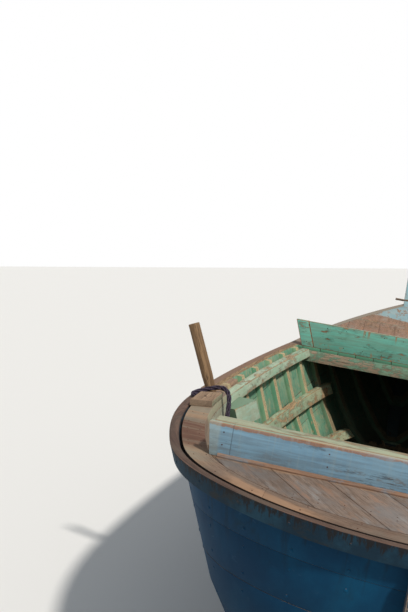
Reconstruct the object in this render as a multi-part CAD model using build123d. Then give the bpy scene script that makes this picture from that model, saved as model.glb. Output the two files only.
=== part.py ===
from build123d import *
import math
import os
from collections import namedtuple

# A planked wooden fishing boat, shown as it lies on a beach: heeled to starboard, on keel and bilge.
# Boat frame, in millimetres: X to starboard, Y forward from the aftmost rail, Z up from the keel's sole.
# Every piece is made upright in that frame, and all are heeled together at the end.

# Main sizes
DECK_Z = 800.0
FLOOR_HALF_BEAM = 500.0
DECK_HALF_BEAM = 944.0
DECK_BEAM_Y = 1334.0

# Keel, stem and stern post
KEEL_DEPTH = 75.0
KEEL_SIDING = 70.0
POST_SIDING = 60.0
STEM_HEAD_SIDING = 140.0
STEM_PROUD = 60.0
STERN_PROUD = 45.0
STEM_HEAD_Z = 1330.0
STEM_APRON = 70.0

# Planking, ribs and rails
PLANK = 24.0
RIB_MOULDED = 26.0
RIB_SIDED = 56.0
RIB_PITCH = 315.0
FIRST_RIB_Y = 482.0
RIB_COUNT = 14
RAIL_WIDTH = 32.0
RAIL_HEIGHT = 58.0
INWALE_DROP = 16.0
INWALE_HEIGHT = 46.0
CHOCK_DEPTH = 60.0
CHOCK_LENGTH = 390.0
STRINGER_THICK = 30.0
CLAMP_HEIGHT = 75.0

# Sheer: level over the stern, then two arcs up to the stem
SHEER_LEVEL_END_Y = 1900.0
SHEER_KNEE = (3440.0, 830.0)
SHEER_END = (5400.0, 1150.0)

# Stern deck and its coaming
DECK_PLANK = 25.0
COVER_WIDTH = 79.0
GROOVE = 11.0
DECK_SEAM = 3.0
STERN_PLANK_WIDTH = 165.0
STERN_SEAM = 25.0
STERN_PLANK_TURN = 30.0
COVER_END_Y = 1540.0
COVER_BUTT_X = 470.0
COAMING_Y = 480.0
COAMING_THICK = 30.0
COAMING_HEIGHT = 113.0
COAMING_HALF_LENGTH = 703.0
COAMING_END_LEAN = 8.0
COAMING_TIMBER = 86.0
COAMING_TIMBER_STEP = 12.0
MOULDING = 13.0
MOULDING_HALF_LENGTH = 674.0
STERN_BEAM_Y = 205.0
BEAM_SIDED = 60.0
BEAM_DEPTH = 62.0

# Foredeck, its raised coaming and the beam under it
FORE_Y = 3440.0
FORE_BEAM_DEPTH = 97.0
FORE_BEAM_THICK = 70.0
FORE_COAMING_HEIGHT = 170.0
FORE_COAMING_THICK = 28.0
FORE_COAMING_HALF_LENGTH = 718.0
FORE_POST_WIDTH = 84.0
FORE_POST_THICK = 44.0
FORE_END_LEAN = 20.0
FORE_DECK_PLANK = 22.0
FORE_PLANK_WIDTH = 118.0
NOSE_Y = 4640.0
FORE_BEAM_STATIONS = [3800.0, 4140.0, 4480.0]

# Thole block, pin and the block behind them
BLOCK_HEIGHT = 28.0
BLOCK_PLAN = [(932.0, 1131.0), (932.0, 1330.0), (845.0, 1400.0), (845.0, 1180.0)]
PIN_Y = 1440.0
PIN_DIAMETER = 50.0
PIN_FOOT_DIAMETER = 44.0
PIN_FOOT_LENGTH = 25.0
PIN_TAPER_LENGTH = 65.0
PIN_LEAN = 24.0
PIN_LENGTH = 330.0
PIN_INSET = 44.0
PIN_CLEARANCE = 0.5
BACKING_FOOT = [(752.0, 1440.0), (900.0, 1440.0), (900.0, 1737.0), (702.0, 1737.0)]
BACKING_Z = (672.0, 754.0)

# Mooring bar through the stem
BAR_DIAMETER = 18.0
BAR_LENGTH = 290.0
BAR_Z = 1140.0
BAR_FROM_FACE = 90.0

# Rope strop on the port block: out of the block's side, round its corner and down inside the boat
ROPE_DIAMETER = 14.0
KNOT_DIAMETER = 32.0
KNOT_LENGTH = 26.0
ROPE_ROUTE = [
    (-932.0, 1290.0, 814.0),
    (-957.0, 1297.0, 813.0),
    (-966.0, 1328.0, 813.0),
    (-952.0, 1364.0, 818.0),
    (-918.0, 1388.0, 830.0),
    (-882.0, 1398.0, 843.0),
    (-846.0, 1394.0, 849.0),
    (-816.0, 1368.0, 838.0),
    (-801.0, 1337.0, 806.0),
    (-797.0, 1314.0, 762.0),
    (-792.0, 1301.0, 711.0),
    (-784.0, 1297.0, 654.0),
]

# Working space around the boat, larger than any piece
REACH = 1500.0
AFT_END = -300.0
FORE_END = 5800.0
CRUMB = 1000.0

# Half outlines of the planking's outer face, from the floor up.
# lean: how far the inward normal is turned up from level, in degrees.
Level = namedtuple("Level", "z aft_y half_beam beam_y bow_y lean")
LEVELS = [
    Level(KEEL_DEPTH, 430.0, FLOOR_HALF_BEAM, 1650.0, 4250.0, 72.0),
    Level(KEEL_DEPTH + 30.0, 290.0, FLOOR_HALF_BEAM + 90.0, 1600.0, 4330.0, 55.0),
    Level(KEEL_DEPTH + 125.0, 165.0, FLOOR_HALF_BEAM + 177.0, 1530.0, 4480.0, 34.0),
    Level(0.5 * DECK_Z, 70.0, DECK_HALF_BEAM - 160.0, 1430.0, 4680.0, 26.0),
    Level(DECK_Z, RAIL_WIDTH, DECK_HALF_BEAM, DECK_BEAM_Y, 5010.0, 23.5),
    Level(1.6 * DECK_Z, RAIL_WIDTH - 141.0, DECK_HALF_BEAM + 206.0, 1270.0, 5370.0, 23.0),
]

# Headings of the outline where its arcs join: athwart is 0 and forward is 90 degrees.
QUARTER_HEADING = 43.0
SIDE_HEADING = 72.0
SHOULDER_HEADING = 101.0
QUARTER_RADIUS_SHARE = 0.62
SHOULDER_SHARE = 0.62

# Seams between the strakes, as heights at the stern, amidships and the bow
SEAM_STATIONS = (0.0, 2200.0, 5000.0)
Seam = namedtuple("Seam", "stern middle bow")
SEAMS = [
    Seam(240.0, 150.0, 420.0),
    Seam(390.0, 320.0, 610.0),
    Seam(530.0, 480.0, 790.0),
    Seam(670.0, 645.0, 965.0),
]
STRAKES = ["bottom", "bilge_strake", "lower_side_strake", "upper_side_strake", "sheer_strake"]

# Stringers inside the ribs: upper edge heights at three stations, and how deep the board is
Stringer = namedtuple("Stringer", "stations heights depth")
STRINGERS = [
    Stringer((700.0, 2600.0, 3745.0), (575.0, 532.0, 562.0), 68.0),
    Stringer((700.0, 2300.0, 3808.0), (300.0, 262.0, 252.0), 46.0),
]

KEEL_HALF = 0.5 * KEEL_SIDING
POST_HALF = 0.5 * POST_SIDING
RIB_INSET = PLANK + RIB_MOULDED
FLOOR_TOP = KEEL_DEPTH + RIB_INSET
COVER_INSET = GROOVE + COVER_WIDTH
HEEL = math.degrees(math.atan2(KEEL_DEPTH, FLOOR_HALF_BEAM - KEEL_HALF))


def end_y(column, z):
    """Where the planking's outer face meets the centreline at height z: column is aft_y or bow_y."""
    for low, high in zip(LEVELS, LEVELS[1:]):
        if z <= high.z:
            break
    share = (z - low.z) / (high.z - low.z)
    return getattr(low, column) + share * (getattr(high, column) - getattr(low, column))


def heading(degrees):
    return math.cos(math.radians(degrees)), math.sin(math.radians(degrees))


def outline(level, inset):
    """Closed half outline of the hull at one level, set in by inset along the planking's normal."""
    cos_lean, sin_lean = heading(level.lean)
    shift = inset * cos_lean
    z = level.z + inset * sin_lean
    if level is LEVELS[0] and inset > 0:
        z = level.z + inset
    aft_y, bow_y = level.aft_y, level.bow_y
    c1, s1 = heading(QUARTER_HEADING)
    c2, s2 = heading(SIDE_HEADING)
    c4, s4 = heading(SHOULDER_HEADING)
    r2 = QUARTER_RADIUS_SHARE * level.half_beam
    across = level.half_beam - POST_HALF - r2 * (s2 - s1)
    along = level.beam_y - aft_y - r2 * (c1 - c2)
    determinant = s1 * c2 - (1.0 - s2) * (1.0 - c1)
    r1 = (across * c2 - (1.0 - s2) * along) / determinant
    r3 = (s1 * along - (1.0 - c1) * across) / determinant
    r4 = SHOULDER_SHARE * (bow_y - level.beam_y) / -c4
    x4 = level.half_beam - r4 * (1.0 - s4)
    y4 = level.beam_y - r4 * c4
    chord = math.hypot(x4 - POST_HALF, bow_y - y4)
    turn = math.atan2(x4 - POST_HALF, bow_y - y4) - math.radians(SHOULDER_HEADING - 90.0)
    r5 = chord / (2.0 * math.sin(turn))

    x, y = POST_HALF, aft_y + shift
    points = [(x, y)]
    for radius, start, end in ((r1, 0.0, QUARTER_HEADING), (r2, QUARTER_HEADING, SIDE_HEADING),
                               (r3, SIDE_HEADING, 90.0), (r4, 90.0, SHOULDER_HEADING)):
        ca, sa = heading(start)
        cb, sb = heading(end)
        x += (radius - shift) * (sb - sa)
        y += (radius - shift) * (ca - cb)
        points.append((x, y))
    centre_x = x4 - r5 * s4
    centre_y = y4 + r5 * c4
    r5 -= shift
    points.append((POST_HALF, centre_y + math.sqrt(r5 * r5 - (POST_HALF - centre_x) ** 2)))

    starts = [0.0, QUARTER_HEADING, SIDE_HEADING, 90.0, SHOULDER_HEADING]
    edges = [Line((0, points[0][1], z), (*points[0], z))]
    for start, first, last in zip(starts, points, points[1:]):
        edges.append(TangentArc((*first, z), (*last, z), tangent=(*heading(start), 0)))
    edges.append(Line((*points[-1], z), (0, points[-1][1], z)))
    edges.append(Line((0, points[-1][1], z), (0, points[0][1], z)))
    return Wire([e if isinstance(e, Edge) else e.edge() for e in edges])


FORMS = {}


def form(inset):
    """Starboard half of the space inside the planking's outer face, set in by inset."""
    if inset not in FORMS:
        FORMS[inset] = Solid.make_loft([outline(level, inset) for level in LEVELS], ruled=True)
    return FORMS[inset]


def side_solid(edges):
    """Starboard solid over a closed side view, drawn on the centreplane."""
    face = Face(Wire([e if isinstance(e, Edge) else e.edge() for e in edges]))
    return Solid.extrude(face, Vector(REACH, 0, 0))


def sheer_edges(drop=0.0):
    level_end = (0, SHEER_LEVEL_END_Y, DECK_Z - drop)
    knee = (0, SHEER_KNEE[0], SHEER_KNEE[1] - drop)
    end = (0, SHEER_END[0], SHEER_END[1] - drop)
    first = TangentArc(level_end, knee, tangent=(0, 1, 0))
    second = TangentArc(knee, end, tangent=first % 1)
    return [Line((0, AFT_END, DECK_Z - drop), level_end), first, second]


def below(edges):
    """Starboard solid under a side-view curve that runs forward."""
    start, end = edges[0] @ 0, edges[-1] @ 1
    floor = -REACH
    walls = [Line(end, (0, end.Y, floor)), Line((0, end.Y, floor), (0, start.Y, floor)),
             Line((0, start.Y, floor), start)]
    return side_solid(edges + walls)


def slab(y_from, y_to, z_from=-REACH, z_to=REACH):
    """Starboard box between two stations and two heights."""
    return Solid.make_box(REACH, y_to - y_from, z_to - z_from, Plane((0, y_from, z_from)))


def pieces_of(shape):
    """The shape's solids, without crumbs."""
    return [] if shape is None else [s for s in shape.solids() if s.volume > CRUMB]


def one(shape):
    """The shape's largest solid."""
    return max(shape.solids(), key=lambda s: s.volume)


def flipped(shape):
    return mirror(shape, about=Plane.YZ)


def across(shape):
    """A piece that spans the boat, from its starboard half."""
    return one(shape + flipped(shape))


PIECES = {}


def both_sides(name, solids):
    PIECES[name + "_starboard"] = list(solids)
    PIECES[name + "_port"] = [flipped(s) for s in solids]


def pair(name, solids):
    PIECES[name] = list(solids) + [flipped(s) for s in solids]


beside_posts = Solid.make_box(REACH, FORE_END - AFT_END, 2 * REACH, Plane((POST_HALF, AFT_END, -REACH)))
under_sheer = below(sheer_edges())
under_rail = below(sheer_edges(RAIL_HEIGHT))
under_foredeck = below(sheer_edges(FORE_DECK_PLANK))
under_cover = slab(AFT_END, COVER_END_Y, -REACH, DECK_Z - DECK_PLANK)
cover_layer = slab(AFT_END, COVER_END_Y, DECK_Z - DECK_PLANK, DECK_Z)


def seam_edges(seam):
    stern_y, middle_y, bow_y = SEAM_STATIONS
    arc = ThreePointArc((0, stern_y, seam.stern), (0, middle_y, seam.middle), (0, bow_y, seam.bow))
    tail = Line((0, AFT_END, seam.stern), (0, stern_y, seam.stern))
    rise = arc % 1
    lead_z = seam.bow + (FORE_END - bow_y) * rise.Z / rise.Y
    return [tail, arc, Line((0, bow_y, seam.bow), (0, FORE_END, lead_z))]


def keel_and_posts():
    keel_from = end_y("aft_y", KEEL_DEPTH)
    keel_to = end_y("bow_y", KEEL_DEPTH) - STEM_APRON
    keel = Box(KEEL_SIDING, keel_to - keel_from, KEEL_DEPTH, align=(Align.CENTER, Align.MIN, Align.MIN))
    PIECES["keel"] = [one(Pos(0, keel_from, 0) * keel)]

    middle_z = 0.5 * DECK_Z
    foot = (0, keel_to, 0)
    toe = (0, keel_to + STEM_APRON + 30.0, 0)
    face_mid = (0, end_y("bow_y", middle_z) + STEM_PROUD, middle_z)
    face_top = (0, end_y("bow_y", STEM_HEAD_Z) + STEM_PROUD, STEM_HEAD_Z)
    back_top = (0, face_top[1] - STEM_PROUD - STEM_APRON, STEM_HEAD_Z)
    back_mid = (0, face_mid[1] - STEM_PROUD - STEM_APRON, middle_z)
    back_low = (0, keel_to, KEEL_DEPTH)
    edges = [Line(foot, toe), ThreePointArc(toe, face_mid, face_top), Line(face_top, back_top),
             ThreePointArc(back_top, back_mid, back_low), Line(back_low, foot)]
    stem = Solid.extrude(Face(Wire([e.edge() for e in edges])), Vector(REACH, 0, 0))
    widening = Face(Wire.make_polygon([(0, AFT_END, 0), (KEEL_HALF, AFT_END, 0),
                                       (0.5 * STEM_HEAD_SIDING, AFT_END, DECK_Z),
                                       (0.5 * STEM_HEAD_SIDING, AFT_END, STEM_HEAD_Z),
                                       (0, AFT_END, STEM_HEAD_Z)]))
    PIECES["stem_post"] = [across(stem & Solid.extrude(widening, Vector(0, FORE_END - AFT_END, 0)))]

    heel = (0, keel_from - STERN_PROUD, 0)
    mid = (0, end_y("aft_y", middle_z) - STERN_PROUD, middle_z)
    top_z = DECK_Z - RAIL_HEIGHT
    top_y = end_y("aft_y", top_z)
    edges = [ThreePointArc(heel, mid, (0, top_y - STERN_PROUD, top_z)),
             Line((0, top_y - STERN_PROUD, top_z), (0, top_y + PLANK, top_z)),
             Line((0, top_y + PLANK, top_z), (0, keel_from + STERN_PROUD, KEEL_DEPTH)),
             Line((0, keel_from + STERN_PROUD, KEEL_DEPTH), (0, keel_from, KEEL_DEPTH)),
             Line((0, keel_from, KEEL_DEPTH), (0, keel_from, 0)), Line((0, keel_from, 0), heel)]
    face = Face(Wire([e.edge() for e in edges]))
    post = Solid.extrude(face, Vector(POST_HALF, 0, 0)) - form(0.0)
    PIECES["stern_post"] = [across(one(post))]


def planking():
    shell = form(0.0) - form(PLANK)
    stem = PIECES["stem_post"][0]
    open_top = under_sheer & slab(COVER_END_Y, FORE_Y)
    decked = under_foredeck & slab(FORE_Y, FORE_END)
    top = under_cover + open_top + decked
    shell = (shell & top) - stem
    lower = None
    for name, seam in zip(STRAKES, SEAMS + [None]):
        piece = shell
        if seam is not None:
            piece = piece & below(seam_edges(seam))
        if lower is not None:
            piece = piece - lower
        both_sides(name, [one(piece)])
        lower = below(seam_edges(seam)) if seam is not None else None


def rub_rail():
    ring = (form(-RAIL_WIDTH) - form(0.0)) & (under_sheer - under_rail)
    ring = (ring & beside_posts) - PIECES["stem_post"][0]
    both_sides("rub_rail", [one(ring & slab(COVER_END_Y, FORE_END))])
    stern = (form(-RAIL_WIDTH) - form(0.0)) & (under_sheer - under_rail) & slab(AFT_END, COVER_END_Y)
    PIECES["rub_rail_stern"] = [across(one(stern))]


def rib_stations():
    return [FIRST_RIB_Y + i * RIB_PITCH for i in range(RIB_COUNT)]


def ribs():
    ring = form(PLANK) - form(RIB_INSET)
    top = under_cover + (under_sheer & slab(COVER_END_Y, FORE_Y)) + (under_foredeck & slab(FORE_Y, FORE_END))
    ring = (ring & top) - PIECES["stem_post"][0]
    floors, sides = [], []
    for y in rib_stations():
        cut = ring & slab(y - 0.5 * RIB_SIDED, y + 0.5 * RIB_SIDED)
        low = cut & slab(AFT_END, FORE_END, -REACH, FLOOR_TOP)
        high = cut & slab(AFT_END, FORE_END, FLOOR_TOP, REACH)
        if pieces_of(low):
            floors.append(across(one(low)))
        if pieces_of(high):
            sides.append(one(high))
    PIECES["floor_timbers"] = floors
    aft = [s for s in sides if s.center().Y < COVER_END_Y]
    well = [s for s in sides if COVER_END_Y <= s.center().Y < FORE_Y]
    fore = [s for s in sides if s.center().Y >= FORE_Y]
    pair("ribs_aft", aft)
    pair("ribs_well", well)
    pair("ribs_fore", fore)


def lining(thick):
    """The layer of the given thickness on the inner faces of the ribs."""
    return form(RIB_INSET) - form(RIB_INSET + thick)


def stringers():
    boards = []
    for row in STRINGERS:
        a, b, c = ((0, y, z) for y, z in zip(row.stations, row.heights))
        low_a, low_b, low_c = ((0, y, z - row.depth) for y, z in zip(row.stations, row.heights))
        band = side_solid([ThreePointArc(a, b, c), Line(c, low_c), ThreePointArc(low_c, low_b, low_a),
                           Line(low_a, a)])
        boards.append(one(lining(STRINGER_THICK) & band))
    pair("stringers", boards)


def gunwale():
    band = below(sheer_edges(INWALE_DROP)) - below(sheer_edges(INWALE_DROP + INWALE_HEIGHT))
    pair("inwales", [one(lining(COVER_INSET - RIB_INSET) & band & slab(COVER_END_Y, FORE_Y))])
    clamp_top = DECK_Z - DECK_PLANK
    clamp_space = slab(COAMING_Y + COAMING_THICK + COAMING_TIMBER, COVER_END_Y,
                       clamp_top - CLAMP_HEIGHT, clamp_top)
    pair("clamps", [one(lining(COVER_INSET - RIB_INSET) & clamp_space)])
    space = form(PLANK) - form(RIB_INSET)
    chock = space & slab(COVER_END_Y, COVER_END_Y + CHOCK_LENGTH, DECK_Z - CHOCK_DEPTH, DECK_Z)
    for solid in PIECES["ribs_well"][:len(PIECES["ribs_well"]) // 2]:
        chock = chock - solid
    pair("gunwale_chocks", pieces_of(chock))


def covering_board():
    ring = (form(GROOVE) - form(COVER_INSET)) & cover_layer
    pin_hole = thole_cylinder(PIN_FOOT_DIAMETER + 2.0 * PIN_CLEARANCE)
    quarter_zone = Solid.make_box(REACH, FORE_END, 2 * REACH, Plane((COVER_BUTT_X, AFT_END, -REACH)))
    pair("covering_boards", [one((ring & quarter_zone) - pin_hole)])
    PIECES["covering_board_stern"] = [across(one(ring - quarter_zone))]


def stern_deck():
    field = form(COVER_INSET + DECK_SEAM) & slab(AFT_END, COAMING_Y + COAMING_THICK + COAMING_TIMBER,
                                                 DECK_Z - DECK_PLANK, DECK_Z)
    centre_gap = Solid.make_box(0.5 * DECK_SEAM, FORE_END, 2 * REACH, Plane((0, AFT_END, -REACH)))
    field = field - centre_gap
    planks = []
    reach = int(DECK_HALF_BEAM / STERN_PLANK_WIDTH) + 2
    for i in range(-reach, reach):
        strip = Box(STERN_PLANK_WIDTH - DECK_SEAM, 2 * REACH, 2 * REACH,
                    align=(Align.MIN, Align.CENTER, Align.CENTER))
        strip = Rot(0, 0, -STERN_PLANK_TURN) * Pos(STERN_SEAM + i * STERN_PLANK_WIDTH, 0, 0) * strip
        planks += pieces_of(field & strip)
    both_sides("stern_deck", planks)


def trimmed_board(half_length, lean, y_from, thick, z_from, height):
    """Board across the boat whose ends lean outwards by lean degrees."""
    spread = height * math.tan(math.radians(lean))
    corners = [(0, z_from), (half_length, z_from), (half_length + spread, z_from + height),
               (0, z_from + height)]
    face = Face(Wire.make_polygon([(x, y_from, z) for x, z in corners]))
    return across(Solid.extrude(face, Vector(0, thick, 0)))


def stern_coaming():
    y = COAMING_Y
    PIECES["stern_coaming"] = [trimmed_board(COAMING_HALF_LENGTH, COAMING_END_LEAN, y, COAMING_THICK,
                                             DECK_Z, COAMING_HEIGHT)]
    PIECES["coaming_timber"] = [trimmed_board(COAMING_HALF_LENGTH - COAMING_TIMBER_STEP, COAMING_END_LEAN,
                                              y + COAMING_THICK, COAMING_TIMBER, DECK_Z, COAMING_HEIGHT)]
    ramp = [(0, y, DECK_Z), (0, y - MOULDING, DECK_Z), (0, y - MOULDING, DECK_Z + 0.4 * MOULDING),
            (0, y, DECK_Z + MOULDING)]
    strip = Solid.extrude(Face(Wire.make_polygon(ramp)), Vector(MOULDING_HALF_LENGTH, 0, 0))
    PIECES["coaming_moulding"] = [across(strip)]


def beam(y_from, sided, z_top, depth):
    half = form(PLANK) & slab(y_from, y_from + sided, z_top - depth, z_top)
    return across(one(half))


def beams():
    under_deck = DECK_Z - DECK_PLANK
    coaming_beam_y = COAMING_Y + COAMING_THICK + COAMING_TIMBER - BEAM_SIDED
    PIECES["stern_deck_beams"] = [beam(STERN_BEAM_Y, BEAM_SIDED, under_deck, BEAM_DEPTH),
                                  beam(coaming_beam_y, BEAM_SIDED, under_deck, BEAM_DEPTH)]
    fore = form(PLANK) & slab(FORE_Y, FORE_Y + FORE_BEAM_THICK) & under_foredeck
    fore = fore - below(sheer_edges(FORE_BEAM_DEPTH))
    PIECES["fore_beam"] = [across(one(fore))]
    small = []
    for y in FORE_BEAM_STATIONS:
        half = (form(PLANK) & slab(y, y + BEAM_SIDED) & under_foredeck) - below(
            sheer_edges(FORE_DECK_PLANK + BEAM_DEPTH))
        small.append(across(one(half)))
    PIECES["foredeck_beams"] = small


def foredeck():
    layer = under_sheer - under_foredeck
    start = FORE_Y
    field = (form(0.0) & layer & slab(start, FORE_END)) - PIECES["stem_post"][0]
    nose = field & slab(NOSE_Y, FORE_END)
    PIECES["foredeck_nose"] = [across(one(nose))]
    planks = []
    count = int(DECK_HALF_BEAM / FORE_PLANK_WIDTH) + 1
    for i in range(count):
        first = 0.5 * DECK_SEAM if i == 0 else i * FORE_PLANK_WIDTH
        strip = Solid.make_box((i + 1) * FORE_PLANK_WIDTH - DECK_SEAM - first, NOSE_Y - DECK_SEAM - start,
                               2 * REACH, Plane((first, start, -REACH)))
        planks += pieces_of(field & strip)
    both_sides("foredeck", planks)


def fore_coaming():
    y, z = FORE_Y, SHEER_KNEE[1]
    inner = FORE_COAMING_HALF_LENGTH - FORE_POST_WIDTH
    board = trimmed_board(inner, FORE_END_LEAN, y, FORE_COAMING_THICK, z, FORE_COAMING_HEIGHT)
    whole = trimmed_board(FORE_COAMING_HALF_LENGTH, FORE_END_LEAN, y, FORE_POST_THICK, z,
                          FORE_COAMING_HEIGHT)
    core = trimmed_board(inner, FORE_END_LEAN, y, FORE_POST_THICK, z, FORE_COAMING_HEIGHT)
    lifted = below(sheer_edges()) + flipped(below(sheer_edges()))
    PIECES["fore_coaming"] = [one(board - lifted)]
    PIECES["fore_coaming_posts"] = [s for s in ((whole - core) - lifted).solids()]


def thole_axis():
    """Where the starboard pin's axis crosses the covering board's top, and its outward direction."""
    centre_x = DECK_HALF_BEAM - PIN_INSET
    lean = math.radians(PIN_LEAN)
    return Vector(centre_x, PIN_Y, DECK_Z), Vector(math.sin(lean), 0, math.cos(lean))


def thole_cylinder(diameter, length=2 * PIN_LENGTH, start=-PIN_LENGTH):
    point, direction = thole_axis()
    return Solid.make_cylinder(0.5 * diameter, length, Plane(point + direction * start, z_dir=direction))


def plan_prism(corners, z_from, z_to, outward=0.0):
    """Block over a plan outline, whose top is shifted outward to starboard."""
    face = Face(Wire.make_polygon([(x, y, z_from) for x, y in corners]))
    return Solid.extrude(face, Vector(outward, 0, z_to - z_from))


def tholes():
    pair("thole_blocks", [plan_prism(BLOCK_PLAN, DECK_Z, DECK_Z + BLOCK_HEIGHT)])
    lean = math.radians(PIN_LEAN)
    buried = DECK_PLANK / math.cos(lean) - 0.5 * PIN_FOOT_DIAMETER * math.tan(lean)
    point, direction = thole_axis()
    foot = thole_cylinder(PIN_FOOT_DIAMETER, PIN_FOOT_LENGTH + buried, -buried)
    taper = Solid.make_cone(0.5 * PIN_FOOT_DIAMETER, 0.5 * PIN_DIAMETER, PIN_TAPER_LENGTH,
                            Plane(point + direction * PIN_FOOT_LENGTH, z_dir=direction))
    straight_from = PIN_FOOT_LENGTH + PIN_TAPER_LENGTH
    straight = thole_cylinder(PIN_DIAMETER, PIN_LENGTH - straight_from, straight_from)
    pair("thole_pins", [one(foot + taper + straight)])
    print("pin straight from", straight_from, "to", PIN_LENGTH)
    z_from, z_to = BACKING_Z
    outward = (z_to - z_from) * math.tan(math.radians(LEVELS[4].lean))
    backing = plan_prism(BACKING_FOOT, z_from, z_to, outward) & form(COVER_INSET)
    pair("thole_backings", [one(backing)])


def rope_strop():
    points = [Vector(*p) for p in ROPE_ROUTE]
    runs = [b - a for a, b in zip(points, points[1:])]
    radii = []
    for before, after in zip(runs, runs[1:]):
        half_turn = math.radians(0.5 * before.get_angle(after))
        radii.append(0.45 * min(before.length, after.length) / math.tan(half_turn))
    print("rope radii", [round(r) for r in radii], "runs", [round(r.length) for r in runs])
    path = FilletPolyline(*points, radius=radii)
    section = Plane(points[0], z_dir=runs[0]) * Circle(0.5 * ROPE_DIAMETER)
    tube = one(sweep(section, path))
    print("rope length", round(path.length), "volume share", tube.volume / (section.area * path.length))
    PIECES["rope_strop"] = [tube]
    end_plane = Plane(points[-1], z_dir=runs[-1])
    PIECES["rope_knot"] = [Solid.make_cylinder(0.5 * KNOT_DIAMETER, KNOT_LENGTH, end_plane)]


def mooring_bar():
    y = end_y("bow_y", BAR_Z) + STEM_PROUD - BAR_FROM_FACE
    bar = Solid.make_cylinder(0.5 * BAR_DIAMETER, BAR_LENGTH, Plane((-0.5 * BAR_LENGTH, y, BAR_Z), z_dir=(1, 0, 0)))
    PIECES["mooring_bar"] = [bar]
    PIECES["stem_post"] = [one(PIECES["stem_post"][0] - bar)]


keel_and_posts()
planking()
rub_rail()
ribs()
stringers()
gunwale()
covering_board()
stern_deck()
stern_coaming()
beams()
foredeck()
fore_coaming()
tholes()
rope_strop()
mooring_bar()

heeled = {}
for name, solids in PIECES.items():
    heeled[name] = [Rot(0, HEEL, 0) * s for s in solids]

box = Compound([s for solids in heeled.values() for s in solids]).bounding_box()
shift = Pos(-0.5 * (box.min.X + box.max.X), -0.5 * (box.min.Y + box.max.Y), -box.min.Z)
print("heel", round(HEEL, 4), "shift", [round(v, 4) for v in shift.position])

os.makedirs("parts", exist_ok=True)
for name, solids in heeled.items():
    placed = [shift * s for s in solids]
    piece = placed[0] if len(placed) == 1 else Compound(placed)
    export_step(piece, "parts/" + name + ".step")
    print(name, len(placed), round(sum(s.volume for s in placed) / 1e6, 2), "litres")
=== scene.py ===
import math
import random

import bmesh
import bpy
from mathutils import Matrix, Vector
from mathutils.bvhtree import BVHTree


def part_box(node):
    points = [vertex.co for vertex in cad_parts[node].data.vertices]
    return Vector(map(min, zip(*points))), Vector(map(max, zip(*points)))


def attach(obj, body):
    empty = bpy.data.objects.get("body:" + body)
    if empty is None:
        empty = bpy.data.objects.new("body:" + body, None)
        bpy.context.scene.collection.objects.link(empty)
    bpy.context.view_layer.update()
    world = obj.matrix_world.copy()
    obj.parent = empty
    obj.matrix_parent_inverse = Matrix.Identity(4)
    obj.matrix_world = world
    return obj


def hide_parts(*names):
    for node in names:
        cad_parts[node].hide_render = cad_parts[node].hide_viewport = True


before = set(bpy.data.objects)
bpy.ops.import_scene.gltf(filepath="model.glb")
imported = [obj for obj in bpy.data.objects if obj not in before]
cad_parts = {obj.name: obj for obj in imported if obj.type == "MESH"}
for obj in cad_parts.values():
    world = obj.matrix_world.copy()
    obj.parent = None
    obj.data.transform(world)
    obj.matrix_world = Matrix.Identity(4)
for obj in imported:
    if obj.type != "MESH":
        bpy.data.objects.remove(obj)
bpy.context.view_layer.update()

# Camera: a standing eye behind the stern, turned to port of the keel's line
EYE_HEIGHT = 1.600
EYE_BEHIND_STERN = 2.260
EYE_STARBOARD_OF_KEEL = 0.029
CAMERA_HEADING = 12.7
CAMERA_PITCH = -3.97
LENS = 50.0
SENSOR = 36.0

# The boat's own upright frame: X to starboard, Y forward from the aftmost rail, Z up from the keel's sole
HEEL = math.radians(9.1623)
KEEL_DEPTH = 0.075
KEEL_SIDING = 0.070
AFTMOST = -0.0011
DECK_Z = 0.800
CUDDY_Y = 3.42
NOSE_APEX_Y = 4.765
NOSE_SLOPE = 0.27
STERN_CENTRE_Y = 0.93
PLANK_TURN = 30.0
COS_TURN, SIN_TURN = math.cos(math.radians(PLANK_TURN)), math.sin(math.radians(PLANK_TURN))
PLANK_PITCH = 0.165
CRACK_PLACE = 0.106
PIN_LEAN = 24.0
RIB_Y = [0.482 + 0.315 * i for i in range(14)]

BOTH_SIDES = (-1.0, 1.0)
FULL_TURN = 2.0 * math.pi
KEEL_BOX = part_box("keel")
KEEL_X = 0.5 * (KEEL_BOX[0][0] + KEEL_BOX[1][0])
STERN_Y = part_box("rub_rail_stern")[0][1]
SHIFT = Vector((KEEL_X - 0.5 * KEEL_DEPTH * math.sin(HEEL), STERN_Y - AFTMOST,
                0.5 * KEEL_SIDING * math.sin(HEEL)))
TO_WORLD = Matrix.Translation(SHIFT) @ Matrix.Rotation(HEEL, 4, "Y")
TO_BOAT = TO_WORLD.inverted()


def new_object(name, data):
    made = bpy.data.objects.new(name, data)
    bpy.context.scene.collection.objects.link(made)
    return made


def make_camera():
    data = bpy.data.cameras.new("camera")
    data.lens = LENS
    data.sensor_fit = "VERTICAL"
    data.sensor_height = SENSOR
    camera = new_object("camera", data)
    camera.location = (KEEL_X + EYE_STARBOARD_OF_KEEL, STERN_Y - EYE_BEHIND_STERN, EYE_HEIGHT)
    camera.rotation_euler = (math.radians(90.0 + CAMERA_PITCH), 0.0, math.radians(CAMERA_HEADING))
    bpy.context.scene.camera = camera


make_camera()


# Shader building blocks

def linear(colour):
    """The linear colour for three numbers as they show on screen, 0 to 255; anything else stays as it is."""
    if not isinstance(colour, tuple) or len(colour) != 3:
        return colour
    shares = [value / 255.0 for value in colour]
    return (*(c / 12.92 if c <= 0.04045 else ((c + 0.055) / 1.055) ** 2.4 for c in shares), 1.0)


MATERIALS = {}


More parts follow.
